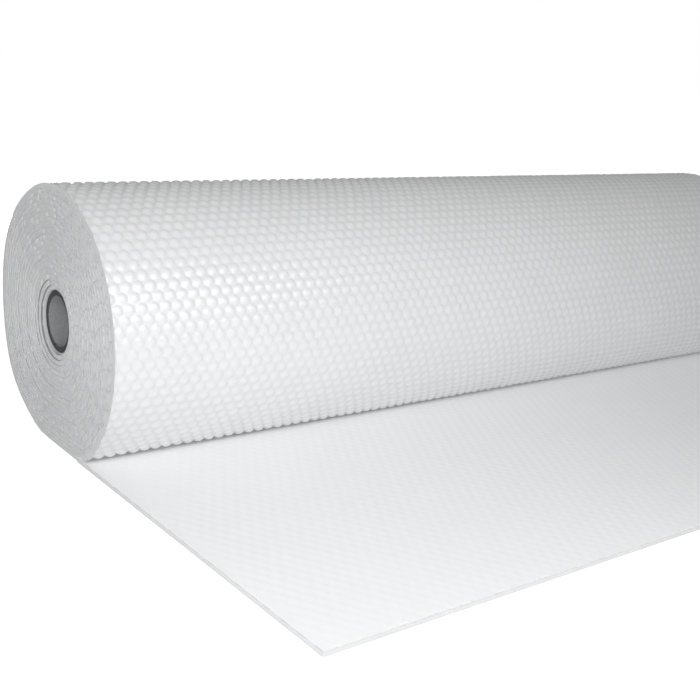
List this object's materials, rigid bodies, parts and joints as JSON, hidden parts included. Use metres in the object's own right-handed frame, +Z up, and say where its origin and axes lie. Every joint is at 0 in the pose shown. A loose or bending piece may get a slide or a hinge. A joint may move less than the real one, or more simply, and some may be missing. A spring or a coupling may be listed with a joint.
{
  "type": "bubble wrap roll",
  "caption": "Roll of clear bubble film on a paper core, lying on its side with its free end drawn out over the floor.",
  "frame": {"origin": "on the floor under the middle of the core's axis, on the flat spot that the roll rests on", "axes": "+X along the roll, -Y towards the free end of the film, +Z up"},
  "size_m": [1, 0.6164, 0.2626],
  "materials": {
    "bubble_film": "clear polyethylene film with air bubbles, milky in many turns",
    "paper_core": "grey paperboard, wound"
  },
  "bodies": {
    "root": {"bubble_film": "bubble_film", "paper_core": "paper_core"}
  },
  "joints": []
}
